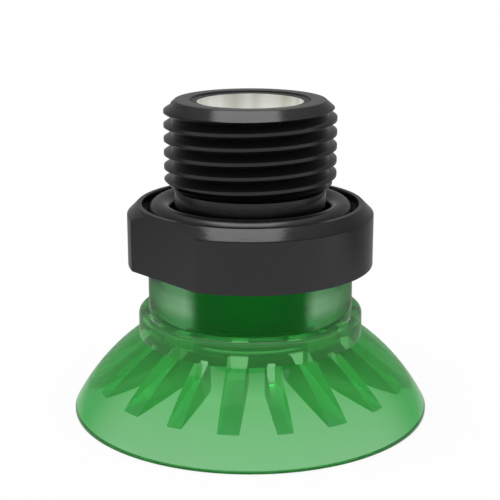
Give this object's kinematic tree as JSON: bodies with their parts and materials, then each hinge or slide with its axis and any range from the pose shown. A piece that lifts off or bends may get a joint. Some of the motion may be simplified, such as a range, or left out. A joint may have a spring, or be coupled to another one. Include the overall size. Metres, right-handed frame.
{
  "type": "flat concave vacuum cup",
  "caption": "Flat concave vacuum cup: clear green polyurethane lip with radial ribs inside, on a black male-threaded fitting with a seal ring, metal core and filter.",
  "frame": {"origin": "on the cup's axis, in the plane that the lip rests on", "axes": "+Z along the axis, from the lip up to the thread; the wrench flats face -Y and +Y, and a wide rib lies along -Y"},
  "size_m": [0.0352, 0.0352, 0.0308],
  "materials": {
    "body_plastic": "black glass-filled polyamide, moulded, finely grained",
    "core_metal": "bright turned aluminium",
    "seal_rubber": "black nitrile rubber, satin",
    "cup_polyurethane": "clear green polyurethane, glossy",
    "screen_wire": "woven stainless wire",
    "ring_metal": "turned stainless steel"
  },
  "bodies": {
    "fitting": {"threaded_body": "body_plastic", "core": "core_metal", "seal_ring": "seal_rubber", "filter_screen": "screen_wire", "filter_ring": "ring_metal"},
    "cup": {"cup": "cup_polyurethane"}
  },
  "joints": [
    {"name": "lip_stroke", "type": "slide", "parent": "fitting", "child": "cup", "axis": [0, 0, 1], "range_m": [0, 0.0023], "stiffness_N_per_m": 2000, "deforming": ["cup"]}
  ]
}
